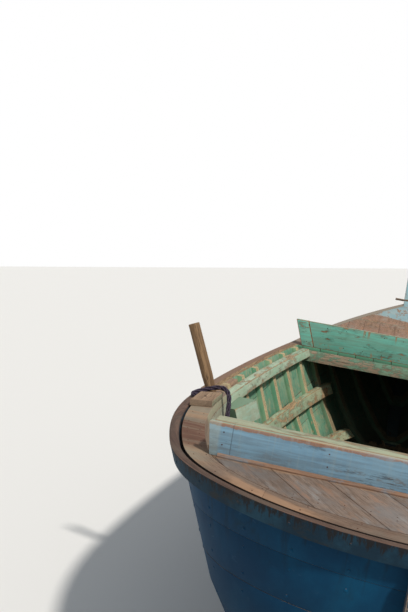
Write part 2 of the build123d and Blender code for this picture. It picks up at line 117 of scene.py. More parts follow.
class Shader:
    """A material under construction, with short calls for the nodes that it needs.

    place is the point in the boat's frame. board is the same, or bent so that it follows the boards.
    colour is the colour so far.
    """

    def __init__(self, name):
        material = MATERIALS[name] = bpy.data.materials.new(name + "_look")
        material.use_nodes = True
        self.tree = material.node_tree
        self.principled = self.tree.nodes["Principled BSDF"]
        coords = self.add("ShaderNodeTexCoord").outputs["Object"]
        mapping = self.add("ShaderNodeMapping", {"Vector": coords, "Location": SHIFT,
                                                 "Rotation": (0.0, HEEL, 0.0)}, vector_type="TEXTURE")
        self.place = mapping.outputs["Vector"]
        self.board = self.place
        self.colour = None
        normal = self.add("ShaderNodeNewGeometry").outputs["Normal"]
        self.normal = self.rotated(normal, -HEEL, "Y")

    def connect(self, node, sockets):
        """Fill a node's inputs: a socket is linked, anything else is the input's own value."""
        for key, value in sockets.items():
            if isinstance(value, bpy.types.NodeSocket):
                self.tree.links.new(value, node.inputs[key])
            else:
                node.inputs[key].default_value = value

    def add(self, kind, sockets=None, **settings):
        node = self.tree.nodes.new(kind)
        for key, value in settings.items():
            setattr(node, key, value)
        self.connect(node, sockets or {})
        return node

    def math(self, operation, a, b=0.0):
        return self.add("ShaderNodeMath", {0: a, 1: b}, operation=operation).outputs[0]

    def plus(self, a, b):
        return self.math("ADD", a, b)

    def minus(self, a, b):
        return self.math("SUBTRACT", a, b)

    def times(self, a, b):
        return self.math("MULTIPLY", a, b)

    def vector(self, x, y, z=0.0):
        return self.add("ShaderNodeCombineXYZ", {"X": x, "Y": y, "Z": z}).outputs["Vector"]

    def vector_math(self, operation, a, b=(0.0, 0.0, 0.0)):
        return self.add("ShaderNodeVectorMath", {0: a, 1: b}, operation=operation)

    def scaled(self, vector, scale):
        """A vector with each of its parts multiplied by its own number."""
        return self.vector_math("MULTIPLY", vector, scale).outputs["Vector"]

    def rotated(self, vector, angle, about):
        return self.add("ShaderNodeVectorRotate", {"Vector": vector, "Angle": angle},
                        rotation_type=about + "_AXIS").outputs["Vector"]

    def axis(self, vector, name):
        return self.add("ShaderNodeSeparateXYZ", {"Vector": vector}).outputs[name]

    def axes(self, vector):
        return [self.axis(vector, name) for name in "XYZ"]

    def step(self, value, low, high):
        """0 below low, 1 above high, smooth between; high may be the lower of the two."""
        node = self.add("ShaderNodeMapRange", {"Value": value, "From Min": low, "From Max": high},
                        interpolation_type="SMOOTHSTEP")
        return node.outputs["Result"]

    def at(self, name, low, high):
        """Mask by the place along one axis of the boat."""
        return self.step(self.axis(self.place, name), low, high)

    def facing(self, name, low, high):
        """Mask by how much the surface looks along one axis of the boat."""
        return self.step(self.axis(self.normal, name), low, high)

    def facing_along(self, direction, low, high):
        """Mask by how much the surface looks along a direction that changes from place to place."""
        return self.step(self.vector_math("DOT_PRODUCT", self.normal, direction).outputs["Value"], low, high)

    def noise(self, scale, stretch=None, detail=6.0, rough=0.6, distortion=0.0):
        """Noise along the boards; stretch is a scale for each axis, or the vector to use instead."""
        vector = self.board if stretch is None else stretch
        if isinstance(stretch, tuple):
            vector = self.scaled(self.board, stretch)
        node = self.add("ShaderNodeTexNoise", {"Vector": vector, "Scale": scale, "Detail": detail,
                                               "Roughness": rough, "Distortion": distortion})
        return node.outputs["Fac"]

    def patches(self, low, high, scale, stretch=None, **settings):
        """Mask that is 1 in the patches where noise passes from low to high."""
        return self.step(self.noise(scale, stretch, **settings), low, high)

    def wobble(self, size, scale, stretch=None, **settings):
        """Noise of the given size to both sides of 0."""
        return self.times(self.minus(self.noise(scale, stretch, **settings), 0.5), size)

    def box_mask(self, x, y, soft, ragged=0.03):
        """1 inside a plan rectangle of the boat, with a ragged edge; x and y are (low, high)."""
        wobble = self.wobble(2.0 * ragged, 14.0, detail=5.0)
        mask = 1.0
        for name, (low, high) in (("X", x), ("Y", y)):
            value = self.plus(self.axis(self.place, name), wobble)
            inside = self.times(self.step(value, low - soft, low + soft),
                                self.step(value, high + soft, high - soft))
            mask = self.times(mask, inside)
        return mask

    def mix(self, factor, a, b):
        return self.add("ShaderNodeMix", {0: factor, 6: linear(a), 7: linear(b)}, data_type="RGBA").outputs[2]

    def lay(self, new, mask, share=1.0):
        """Lay a colour over the one so far where the mask is 1, as strongly as share."""
        self.colour = self.mix(self.times(mask, share), self.colour, new)

    def attribute(self, name):
        return self.add("ShaderNodeAttribute", attribute_name=name).outputs["Fac"]

    def follow_stern(self):
        """Bend the boards' coordinates so that Y runs along boards that go round the stern."""
        x, y, z = self.axes(self.place)
        ahead = self.minus(y, STERN_CENTRE_Y)
        behind = self.math("MINIMUM", ahead, 0.0)
        angle = self.math("ARCTAN2", self.math("ABSOLUTE", x), self.times(behind, -1.0))
        round_part = self.minus(self.times(angle, STERN_CENTRE_Y), 0.5 * math.pi * STERN_CENTRE_Y)
        along = self.plus(round_part, self.math("MAXIMUM", ahead, 0.0))
        across = self.math("SQRT", self.plus(self.times(x, x), self.times(behind, behind)))
        self.board = self.vector(across, along, z)

    def lean_outward(self, degrees):
        """Turn the boards' coordinates so that Z runs along a timber that leans outward on either side."""
        x, y, z = self.axes(self.board)
        mirrored = self.vector(self.math("ABSOLUTE", x), y, z)
        self.board = self.rotated(mirrored, -math.radians(degrees), "Y")

    def coated(self, wood_height, grain, gone, coat):
        """Height of the wood's grain, with a coat of paint on it where the paint isn't gone."""
        return self.plus(self.times(wood_height, grain), self.times(self.minus(1.0, gone), coat))

    def finish(self, roughness, height, strength, distance=0.002, shine=0.25):
        bump = self.add("ShaderNodeBump", {"Height": height, "Strength": strength, "Distance": distance})
        self.connect(self.principled, {"Base Color": self.colour, "Roughness": roughness,
                                       "Specular IOR Level": shine, "Normal": bump.outputs["Normal"]})


# Colours that several materials share
TAN = (196, 160, 122)
TAN_DARK = (150, 118, 88)
GREY_WOOD = (152, 136, 122)
GREY_WOOD_DARK = (112, 96, 84)
WORN_EDGE = (134, 114, 98)
# Near black for painted shade in the cuddy and on the stem's inner face
PAINTED_SHADE_BLACK = (14, 26, 24)
PAINT_GRIME = (52, 42, 34)
WOOD_GRIME = (58, 46, 38)
SPLIT_SHADE = (0.05, 0.035, 0.025, 1.0)
CHIP_SHADE = (0.02, 0.02, 0.02, 1.0)
PAINT_TINT = (0.01, 0.01, 0.01, 1.0)
WOOD_TINT = (0.02, 0.015, 0.01, 1.0)

# How noise is scaled along each axis for timber that runs along X, Y or Z
GRAIN = {"x": (0.05, 1.0, 1.0), "y": (1.0, 0.05, 1.0), "z": (1.0, 1.0, 0.05)}

# Old paint is gone where noise, worn edges and worn tops add up to a limit, which falls as wear rises
GONE_LIMIT = 0.94
GONE_LIMIT_FALL = 0.34
GONE_SOFT = 0.045
CHIP_RIM = 0.05


def bare_timber(s, run, light, dark, turn=0.0):
    """Colour and height of weathered bare wood, its grain along the given axis and turned about Z."""
    board = s.rotated(s.board, math.radians(turn), "Z") if turn else s.board
    grain = s.scaled(board, GRAIN[run])
    fine = s.noise(260.0, grain, detail=3.0, rough=0.7)
    broad = s.noise(42.0, grain, detail=5.0, rough=0.65, distortion=0.6)
    colour = s.mix(s.step(broad, 0.3, 0.72), dark, light)
    split = s.mix(0.45, dark, SPLIT_SHADE)
    colour = s.mix(s.step(fine, 0.36, 0.52), split, colour)
    return colour, s.plus(s.times(fine, 0.5), broad)


def aged_paint(name, run, paint, faded, light, dark, wear, edge_wear=0.5, grime=0.35, top_wear=0.0,
               extra=None, chip_scale=17.0):
    """Old paint that has faded, rubbed thin along the grain and chipped off down to the wood."""
    s = Shader(name)
    wood, wood_height = bare_timber(s, run, light, dark)
    tint = s.attribute("tint")
    fade = s.plus(s.noise(3.1, detail=5.0, rough=0.7), s.times(tint, 0.22))
    s.colour = s.mix(s.step(fade, 0.36, 0.78), paint, faded)
    s.lay(dark, s.patches(0.62, 0.4, 75.0, GRAIN[run], detail=3.0), 0.28)
    chip_run = tuple(0.3 + 0.7 * v for v in GRAIN[run])
    chips = s.noise(chip_scale, chip_run, detail=8.0, rough=0.72)
    level = s.plus(chips, s.times(s.noise(6.0, chip_run, detail=3.0), 0.35))
    level = s.plus(level, s.times(s.attribute("edge"), edge_wear))
    if top_wear:
        level = s.plus(level, s.times(s.facing("Z", 0.55, 0.95), top_wear))
    limit = GONE_LIMIT - GONE_LIMIT_FALL * wear
    gone = s.step(level, limit, limit + GONE_SOFT)
    s.lay(wood, gone)
    s.lay(CHIP_SHADE, s.minus(s.step(level, limit - CHIP_RIM, limit), gone), 0.35)
    if extra is not None:
        extra(s)
    s.lay(PAINT_GRIME, s.patches(0.52, 0.78, 9.0, rough=0.75), grime)
    s.lay(PAINT_TINT, tint, 0.16)
    s.finish(s.plus(0.7, s.times(gone, 0.18)), s.coated(wood_height, 0.5, gone, 0.7), 0.45, 0.0022)


def plain_timber(name, run, light, dark, stain=None, extra=None, turn=0.0, lean=0.0, curved=False):
    """Weathered bare wood with grime, and with a stain if it has one."""
    s = Shader(name)
    if lean:
        s.lean_outward(lean)
    if curved:
        s.follow_stern()
    s.colour, height = bare_timber(s, run, light, dark, turn)
    if stain is not None:
        s.lay(stain, s.patches(0.45, 0.68, 4.2, rough=0.7), 0.75)
    if extra is not None:
        extra(s)
    s.lay(WOOD_GRIME, s.patches(0.5, 0.8, 11.0, rough=0.75), 0.4)
    s.lay(WOOD_TINT, s.attribute("tint"), 0.25)
    s.finish(0.86, height, 0.5, 0.0022)


def cuddy_painted_shade(s):
    """Painted shade: near black laid over surfaces below deck, deepening forward of the fore beam, for the
    shade inside the cuddy.
    """
    forward = s.at("Y", CUDDY_Y, CUDDY_Y + 0.45)
    below_deck = s.at("Z", 0.80, 0.70)
    s.lay(PAINTED_SHADE_BLACK, s.times(forward, below_deck), 0.8)


def hull_paint():
    """Deep blue outside and sea green inside, worn to the wood on the upper edges."""
    s = Shader("hull")
    x, y, z = s.axes(s.place)
    past_end = s.minus(y, s.math("MINIMUM", s.math("MAXIMUM", y, 1.2), 4.2))
    outside = s.facing_along(s.vector(x, past_end, s.minus(z, 0.9)), -0.01, 0.01)
    wood, wood_height = bare_timber(s, "y", (178, 152, 118), (128, 104, 80))

    s.colour = s.mix(s.patches(0.35, 0.72, 1.7, rough=0.65), (2, 50, 80), (8, 76, 108))
    s.lay((10, 34, 48), s.step(z, 0.62, 0.18), 0.55)
    worn = s.patches(0.55, 0.72, 5.5, (1.0, 0.5, 1.0), detail=7.0, rough=0.75)
    s.lay((16, 40, 52), worn, 0.5)
    drips = s.times(s.patches(0.53, 0.63, 34.0, (1.0, 1.0, 0.06), detail=4.0), s.step(z, 0.52, 0.79))
    s.lay((20, 30, 36), drips, 0.45)
    scuffs = s.patches(0.62, 0.7, 60.0, (0.4, 0.12, 1.0), rough=0.75)
    s.lay((70, 98, 120), scuffs, 0.25)
    blue = s.colour

    patch = s.noise(2.6, rough=0.7)
    s.colour = s.mix(s.step(patch, 0.35, 0.7), (96, 146, 120), (128, 162, 136))
    rubbed = s.patches(0.48, 0.60, 40.0, (1.0, 0.6, 0.16), detail=8.0, rough=0.78)
    s.lay((166, 160, 128), rubbed, 0.75)
    streaks = s.patches(0.54, 0.66, 56.0, (1.0, 1.0, 0.06), detail=5.0, rough=0.75)
    s.lay((44, 88, 76), streaks, 0.65)
    # Grime and painted shade: the inside darkens towards the bottom
    s.lay((74, 66, 50), s.step(z, 0.30, 0.06), 0.6)
    # Painted shade inside the cuddy
    cuddy_painted_shade(s)
    s.lay(blue, outside)

    chips = s.noise(19.0, (0.8, 0.3, 0.8), detail=8.0, rough=0.72)
    up = s.facing("Z", 0.55, 0.9)
    gone = s.step(s.plus(chips, s.times(up, 0.36)), 0.74, 0.79)
    s.lay(wood, gone)
    # Grime and painted shade in the bilge, over the bare wood too
    bilge = s.times(s.step(z, 0.30, 0.12), s.minus(1.0, outside))
    grime_and_shade_share = s.plus(0.35, s.times(s.step(patch, 0.6, 0.4), 0.35))
    s.lay((64, 58, 48), bilge, grime_and_shade_share)
    # Painted shade: up-facing planking in the groove between the rail and the covering boards is painted near
    # black
    groove = s.times(s.step(z, 0.790, 0.784), s.step(z, 0.68, 0.70))
    groove_painted_shade = s.times(groove, s.step(y, 1.56, 1.53))
    s.lay((16, 13, 12), up, groove_painted_shade)
    seam = s.times(s.attribute("edge"), s.minus(1.0, up))
    s.lay((16, 18, 20), seam, s.minus(0.8, s.times(outside, 0.64)))
    s.lay(PAINT_TINT, s.attribute("tint"), 0.14)
    height = s.coated(wood_height, 0.35, gone, 0.8)
    s.finish(s.plus(0.62, s.times(gone, 0.3)), height, 0.4, shine=0.1)


def rail_paint():
    """Worn brown on top; outside, the hull's blue with brown running down from the edge."""
    s = Shader("rail")
    s.follow_stern()
    s.colour, height = bare_timber(s, "y", (104, 80, 68), (64, 48, 41))
    s.lay((88, 76, 66), s.patches(0.45, 0.62, 5.0, detail=5.0), 0.6)
    beside_well = s.at("Y", 1.25, 1.55)
    s.lay((146, 116, 94), beside_well, 0.5)
    bow = s.at("Y", 3.3, 3.8)
    s.lay((144, 140, 128), bow, 0.6)
    wood = s.colour
    s.colour = s.mix(s.patches(0.4, 0.66, 5.0, rough=0.7), (9, 38, 54), (26, 62, 80))
    brown = s.patches(0.53, 0.64, 11.0, (1.0, 0.5, 1.0), detail=7.0, rough=0.75)
    s.lay((40, 39, 35), brown, 0.7)
    drips = s.wobble(3.4, 54.0, (1.0, 1.0, 0.14), detail=8.0, rough=0.8)
    down = s.step(s.plus(s.at("Z", 0.730, 0.815), drips), 0.58, 0.86)
    s.lay((25, 20, 18), down, 0.88)
    worn = s.math("MAXIMUM", s.facing("Z", 0.45, 0.75), s.times(s.attribute("edge"), s.facing("Z", 0.1, 0.3)))
    s.lay(wood, worn)
    s.lay((60, 44, 36), s.patches(0.6, 0.72, 24.0, detail=7.0, rough=0.75), 0.5)
    s.finish(0.8, height, 0.5)


def rib_paint():
    """Ribs: bare worn face towards the inside, green on the sides and behind."""
    s = Shader("rib")
    s.colour, height = bare_timber(s, "z", (198, 182, 142), (156, 138, 106))
    green = s.mix(s.patches(0.35, 0.7, 4.0, detail=5.0), (96, 148, 118), (140, 168, 132))
    side = s.step(s.math("ABSOLUTE", s.axis(s.normal, "Y")), 0.5, 0.8)
    broad = s.times(s.noise(2.2, detail=4.0), 0.5)
    level = s.plus(s.noise(21.0, (1.0, 1.0, 0.3), detail=7.0, rough=0.72), broad)
    s.lay((150, 178, 146), s.step(level, 0.86, 0.78), s.patches(0.56, 0.66, 1.6, detail=4.0))
    s.lay(green, side, s.step(level, 0.95, 0.88))
    s.lay((182, 164, 126), s.attribute("edge"), 0.5)
    s.lay((94, 72, 50), s.patches(0.55, 0.75, 13.0, rough=0.75), 0.4)
    # Painted shade inside the cuddy
    cuddy_painted_shade(s)
    s.finish(0.82, height, 0.45)


def fibre_rope():
    s = Shader("rope")
    twist = s.noise(420.0, (1.0, 1.0, 0.5), detail=3.0)
    s.colour = s.mix(s.step(twist, 0.35, 0.65), (28, 24, 32), (74, 64, 82))
    s.lay((104, 94, 104), s.patches(0.5, 0.75, 30.0, detail=4.0), 0.5)
    s.finish(0.9, twist, 0.6, 0.001)


def rusted_iron():
    s = Shader("iron")
    patch = s.noise(160.0, detail=5.0)
    s.colour = s.mix(s.step(patch, 0.4, 0.62), (34, 26, 24), (92, 52, 34))
    s.principled.inputs["Metallic"].default_value = 0.25
    s.finish(0.72, patch, 0.5, 0.0008)


def outer_face(s):
    """1 on upright faces that look out from the boat, also round the stern."""
    x, y = s.axes(s.place)[:2]
    outward = s.vector(x, s.math("MINIMUM", s.minus(y, STERN_CENTRE_Y), 0.0))
    return s.facing_along(s.vector_math("NORMALIZE", outward).outputs["Vector"], 0.55, 0.85)


def inboard_face(s):
    """1 on upright faces that look towards the boat's middle."""
    return s.step(s.times(s.axis(s.place, "X"), s.axis(s.normal, "X")), -0.50, -0.66)


# What single materials have besides their wood or paint

def stern_deck_extra(s):
    """Pale and tan stains, a crack down each plank, and orange wood along the foot of the coaming."""
    x, y = s.axes(s.place)[:2]
    outward = s.math("ABSOLUTE", x)
    across = s.minus(s.times(outward, COS_TURN), s.times(y, SIN_TURN))
    along = s.plus(s.times(outward, SIN_TURN), s.times(y, COS_TURN))
    plank_run = s.vector(across, s.times(along, 0.22))
    stains = s.noise(16.0, plank_run, detail=8.0, rough=0.72)
    s.lay((146, 144, 142), s.step(stains, 0.52, 0.64), 0.6)
    s.lay((150, 116, 94), s.step(stains, 0.46, 0.38), 0.6)
    wander = s.wobble(0.03, 5.0, plank_run, detail=4.0)
    in_plank = s.math("PINGPONG", s.plus(s.minus(across, CRACK_PLACE), wander), 0.5 * PLANK_PITCH)
    crack = s.times(s.step(in_plank, 0.0022, 0.0006), s.patches(0.45, 0.6, 4.0, plank_run, detail=4.0))
    s.lay((70, 50, 40), crack, 0.75)
    foot = s.step(s.plus(y, s.times(s.noise(12.0, detail=5.0), 0.08)), 0.485, 0.52)
    s.lay((188, 146, 108), foot, 0.55)


# Where the covering boards are marked: the distance of their outer edge from the stern's centre, the end of
# the wood that is rubbed bare beside it, and the streaked port quarter
GROOVE_RADIUS = 0.89
RUBBED_END_X = -0.30
QUARTER_X = (-0.99, -0.70)


def cover_extra(s):
    """Red-brown and pale streaks over the port quarter, orange wood beside the groove, pale inner edges, and
    painted shade, near black, on the outer edges that face into the groove.
    """
    streak = s.noise(22.0, s.scaled(s.place, (0.12, 1.0, 1.0)), rough=0.7)
    pale = s.mix(s.step(streak, 0.42, 0.6), (172, 144, 116), (150, 142, 124))
    s.lay(pale, s.box_mask(QUARTER_X, (0.30, 1.20), soft=0.07, ragged=0.05), 0.7)
    amount = s.plus(0.4, s.times(s.step(streak, 0.6, 0.42), 0.5))
    red = s.box_mask(QUARTER_X, (0.54, 0.92), soft=0.06, ragged=0.05)
    s.lay((92, 59, 47), red, amount)
    radius = s.plus(s.axis(s.board, "X"), s.times(streak, 0.03))
    beside_groove = s.step(radius, GROOVE_RADIUS - 0.030, GROOVE_RADIUS - 0.005)
    rubbed = s.box_mask((-0.60, RUBBED_END_X), (-0.1, 0.40), soft=0.06)
    s.lay((180, 140, 108), s.times(rubbed, beside_groove), 0.6)
    paint = s.mix(s.at("Y", 0.96, 1.04), WORN_EDGE, (164, 162, 136))
    s.lay(paint, inboard_face(s), 0.85)
    # Painted shade in the groove: the outer edges are painted near black
    s.lay((26, 20, 17), outer_face(s), 0.92)


def clamp_extra(s):
    """The clamps' paint has gone abaft the thole blocks."""
    s.lay(WORN_EDGE, s.at("Y", 1.04, 0.96), 0.85)


def block_extra(s):
    """Pale green paint left on the inboard side of the thole blocks, and painted shade, a darker grey, on
    their after ends.
    """
    # Painted shade on the after ends
    s.lay((112, 98, 84), s.facing("Y", -0.6, -0.85), 0.55)
    left = s.patches(0.62, 0.52, 40.0, rough=0.7)
    s.lay((154, 158, 132), s.times(inboard_face(s), left), 0.85)


def backing_painted_shade(s):
    """Painted shade on the backing blocks: their tops in a darker green, the planking's, and their after ends
    dark.
    """
    s.lay((104, 130, 106), s.facing("Z", 0.6, 0.9), 0.9)
    s.lay((34, 62, 44), s.facing("Y", -0.6, -0.85), 0.9)


def stem_painted_shade(s):
    """Painted shade: the stem's inner face under the foredeck is painted near black."""
    s.lay(PAINTED_SHADE_BLACK, s.times(s.facing("Y", -0.15, -0.4), s.at("Z", 0.96, 0.90)), 0.9)


def timber_extra(s):
    """Brown wood showing along the aft edge of the coaming's top."""
    ragged = s.times(s.noise(9.0, (1.0, 0.2, 1.0)), 0.03)
    edge = s.step(s.plus(s.axis(s.place, "Y"), ragged), 0.537, 0.529)
    s.lay((156, 120, 96), edge, 0.7)


def coaming_extra(s):
    """A bare top edge, chips along the foot and a few upright scratches."""
    x, y, z = s.axes(s.place)
    ragged = s.wobble(0.05, 26.0, (1.0, 1.0, 0.4))
    tone = s.patches(0.42, 0.6, 13.0, (0.2, 1.0, 1.0))
    s.lay(s.mix(tone, (140, 168, 144), (176, 168, 140)), s.facing("Z", 0.7, 0.92))
    line = s.plus(s.plus(z, s.times(ragged, 0.35)), s.times(s.noise(5.0, detail=7.0, rough=0.75), 0.03))
    near_edge = s.times(s.step(line, 0.9172, 0.9196), s.step(y, 0.492, 0.486))
    s.lay((158, 114, 84), near_edge, 0.85)
    end = s.step(s.plus(x, s.times(ragged, 0.3)), -0.672, -0.682)
    s.lay((176, 184, 172), end, 0.45)
    crack = s.step(s.math("ABSOLUTE", s.plus(x, 0.634)), 0.0026, 0.0008)
    s.lay((38, 44, 52), crack, 0.45)
    upright = s.patches(0.5, 0.66, 60.0, (1.0, 1.0, 0.06), detail=5.0, rough=0.7)
    s.lay((160, 180, 184), upright, 0.3)
    cloud = s.patches(0.52, 0.66, 7.0, (0.5, 1.0, 1.0), rough=0.7)
    s.lay((142, 176, 196), cloud, 0.4)
    low = s.step(z, 0.895, 0.832)
    starboard = s.step(x, -0.45, 0.05)
    amount = s.times(low, s.plus(0.35, s.times(starboard, 0.65)))
    chips = s.patches(0.5, 0.57, 24.0, (0.35, 1.0, 1.2), detail=8.0, rough=0.75)
    s.lay((120, 112, 102), s.times(chips, amount), 0.8)
    splits = s.patches(0.56, 0.62, 70.0, (0.09, 1.0, 1.0), rough=0.75)
    s.lay((52, 46, 44), splits, s.times(amount, 0.8))


def fore_board_extra(s):
    """Rust runs under the top edge and bare spots along the foot of the board."""
    runs = s.times(s.patches(0.60, 0.66, 46.0, (1.0, 1.0, 0.04), detail=3.0), s.at("Z", 0.93, 1.0))
    s.lay((164, 110, 70), runs, 0.8)
    spots = s.times(s.patches(0.56, 0.62, 34.0, rough=0.7), s.at("Z", 0.885, 0.84))
    s.lay((186, 130, 92), spots, 0.85)


def foredeck_extra(s):
    """Blotches of grey and orange, and the pale blue paint of the nose."""
    blotch = s.noise(13.0, (1.0, 0.5, 1.0), detail=7.0, rough=0.75)
    s.lay((150, 138, 126), s.step(blotch, 0.5, 0.62), 0.6)
    s.lay((170, 128, 92), s.step(blotch, 0.46, 0.36), 0.5)
    x, y = s.axes(s.place)[:2]
    ragged = s.wobble(0.08, 22.0, rough=0.7)
    ahead = s.minus(s.plus(y, ragged), s.times(s.math("ABSOLUTE", x), NOSE_SLOPE))
    painted = s.step(ahead, NOSE_APEX_Y, NOSE_APEX_Y + 0.02)
    tone = s.mix(s.patches(0.4, 0.65, 5.0, detail=5.0), (134, 164, 170), (160, 174, 172))
    kept = s.patches(0.60, 0.52, 30.0, (1.0, 0.3, 1.0), detail=7.0, rough=0.72)
    s.lay(tone, s.times(painted, kept), 0.95)
    s.lay((84, 150, 122), s.facing("Y", -0.6, -0.9), 0.9)


def moulding_extra(s):
    """Blue and grey paint left along the moulding."""
    left = s.patches(0.5, 0.58, 10.0, (0.5, 1.0, 1.0), detail=7.0, rough=0.75)
    s.lay((122, 138, 150), left, 0.6)


# Each call makes a material and keeps it in MATERIALS under its name
hull_paint()
rail_paint()
rib_paint()
fibre_rope()
rusted_iron()
aged_paint("keel", "y", (30, 64, 92), (60, 78, 88), GREY_WOOD, GREY_WOOD_DARK, 0.6)
aged_paint("stem", "z", (120, 170, 186), (150, 184, 190), TAN, TAN_DARK, 0.45, extra=stem_painted_shade)
for side, turn in (("starboard", PLANK_TURN), ("port", -PLANK_TURN)):
    plain_timber("stern_deck_" + side, "y", (146, 126, 112), (116, 98, 86), (122, 118, 116),
                 stern_deck_extra, turn=turn)
plain_timber("cover", "y", (144, 122, 106), (108, 86, 72), (124, 112, 100), cover_extra, curved=True)
aged_paint("coaming", "x", (106, 154, 188), (138, 178, 202), (150, 138, 122), (92, 82, 72), 0.34, 0.05,
           grime=0.2, extra=coaming_extra)
aged_paint("coaming_timber", "x", (140, 170, 142), (172, 178, 150), (184, 164, 132), (140, 118, 92),
           0.62, 0.1, extra=timber_extra)
plain_timber("moulding", "x", (178, 140, 112), (142, 110, 90), (136, 138, 140), moulding_extra)
aged_paint("inwale", "y", (152, 184, 158), (182, 194, 172), (190, 170, 138), (146, 126, 100), 0.55, 0.16,
           top_wear=0.1)
aged_paint("clamp", "y", (138, 150, 128), (158, 158, 138), (168, 146, 122), (126, 104, 84), 0.6, 0.12,
           extra=clamp_extra)
aged_paint("stringer", "y", (142, 172, 144), (172, 176, 144), (190, 162, 124), (146, 120, 90), 0.75, 0.2)
aged_paint("beam", "x", (118, 166, 142), (154, 176, 150), (192, 172, 150), (150, 128, 108), 0.8, 0.2,
           chip_scale=42.0)
aged_paint("floor_timber", "x", (86, 130, 108), (118, 142, 116), (150, 124, 96), (100, 80, 62), 0.7, 0.4)
aged_paint("fore_board", "x", (92, 180, 162), (126, 200, 182), (180, 134, 98), (132, 98, 72), 0.46, 0.25,
           grime=0.25, extra=fore_board_extra, chip_scale=30.0)
plain_timber("foredeck", "y", (162, 131, 109), (120, 96, 78), (156, 120, 102), foredeck_extra)
plain_timber("block", "y", (176, 150, 124), (134, 110, 90), (158, 136, 112), block_extra)
aged_paint("backing", "y", (150, 176, 156), (174, 184, 162), (192, 166, 128), (146, 120, 90), 0.5, 0.12,
           extra=backing_painted_shade)
plain_timber("chock", "y", (182, 150, 124), (138, 110, 90), (156, 152, 126))
plain_timber("pin", "z", (160, 130, 97), (104, 80, 58), lean=PIN_LEAN)
plain_timber("caulk", "y", (104, 78, 62), (70, 54, 44))
plain_timber("foredeck_seam", "y", (128, 100, 86), (92, 72, 60), extra=foredeck_extra)
plain_timber("peg", "x", (150, 128, 108), (96, 80, 68))

STRAKES = ["bottom", "bilge_strake", "lower_side_strake", "upper_side_strake", "sheer_strake"]
STRAKE_NODES = [strake + side for strake in STRAKES for side in ("_starboard", "_port")]
RAIL_NODES = ["rub_rail_starboard", "rub_rail_port", "rub_rail_stern"]
COVER_NODES = ["covering_boards", "covering_board_stern"]
FORE_PLANK_NODES = ["foredeck_starboard", "foredeck_port"]

# Material, how wide its worn edges are in mm, finish slot, and the CAD nodes dressed so
DRESS = [
    ("keel", 4.0, "hull_blue", ["keel"]),
    ("stem", 4.0, "hull_blue", ["stem_post"]),
    ("keel", 3.0, "hull_blue", ["stern_post"]),
    ("rail", 5.0, "rail_tan", RAIL_NODES),
    ("floor_timber", 4.0, "inside_green", ["floor_timbers"]),
    ("rib", 3.5, "inside_green", ["ribs_aft", "ribs_well", "ribs_fore"]),
    ("stringer", 4.0, "inside_green", ["stringers"]),
    ("inwale", 4.0, "pale_green", ["inwales"]),
    ("clamp", 3.0, "pale_green", ["clamps"]),
    ("chock", 3.0, "pale_green", ["gunwale_chocks"]),
    ("cover", 3.0, "deck_grey", COVER_NODES),
    ("stern_deck_starboard", 2.5, "deck_grey", ["stern_deck_starboard"]),
    ("stern_deck_port", 2.5, "deck_grey", ["stern_deck_port"]),
    ("coaming", 4.0, "coaming_blue", ["stern_coaming"]),
    ("coaming_timber", 5.0, "pale_green", ["coaming_timber"]),
    ("moulding", 1.5, "bare_wood", ["coaming_moulding"]),
    ("beam", 4.0, "inside_green", ["stern_deck_beams"]),
    ("beam", 4.0, "bare_wood", ["fore_beam"]),
    ("beam", 4.0, "inside_green", ["foredeck_beams"]),
    ("foredeck", 3.0, "foredeck_pale", ["foredeck_nose"]),
    ("foredeck", 2.5, "deck_grey", FORE_PLANK_NODES),
    ("fore_board", 3.0, "teal", ["fore_coaming"]),
    ("fore_board", 4.0, "teal", ["fore_coaming_posts"]),
    ("block", 4.0, "rail_tan", ["thole_blocks"]),
    ("pin", 2.5, "bare_wood", ["thole_pins"]),
    ("backing", 4.0, "pale_green", ["thole_backings"]),
    ("peg", 1.5, "bare_wood", ["mooring_bar"]),
    ("hull", 3.0, "hull_blue", STRAKE_NODES),
]

# How the CAD meshes are worn: edges sharper than this are rounded, and flatter ones are dissolved
SHARP = math.radians(32.0)
FLAT = math.radians(0.3)
MERGE = 0.00002
EDGE_SEGMENTS = 2
EDGE_PROFILE = 0.6


def boat_piece(name, mesh, material):
    """An object from a bmesh, which it uses up, with its material, riding with the boat."""
    data = bpy.data.meshes.new(name)
    mesh.to_mesh(data)
    mesh.free()
    data.materials.append(MATERIALS[material])
    piece = new_object(name, data)
    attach(piece, "root")
    return piece


def first_corner(island):
    """The least Y, X and Z of a piece's faces, to a tenth of a millimetre."""
    places = [vert.co for face in island for vert in face.verts]
    return [round(min(place[axis] for place in places), 4) for axis in (1, 0, 2)]


def islands_of(mesh):
    """The separate pieces of a mesh, as lists of faces, from the stern forward and then to starboard."""
    left = set(mesh.faces)
    islands = []
    while left:
        island = [left.pop()]
        for face in island:
            for edge in face.edges:
                for other in edge.link_faces:
                    if other in left:
                        left.remove(other)
                        island.append(other)
        islands.append(island)
    return sorted(islands, key=first_corner)


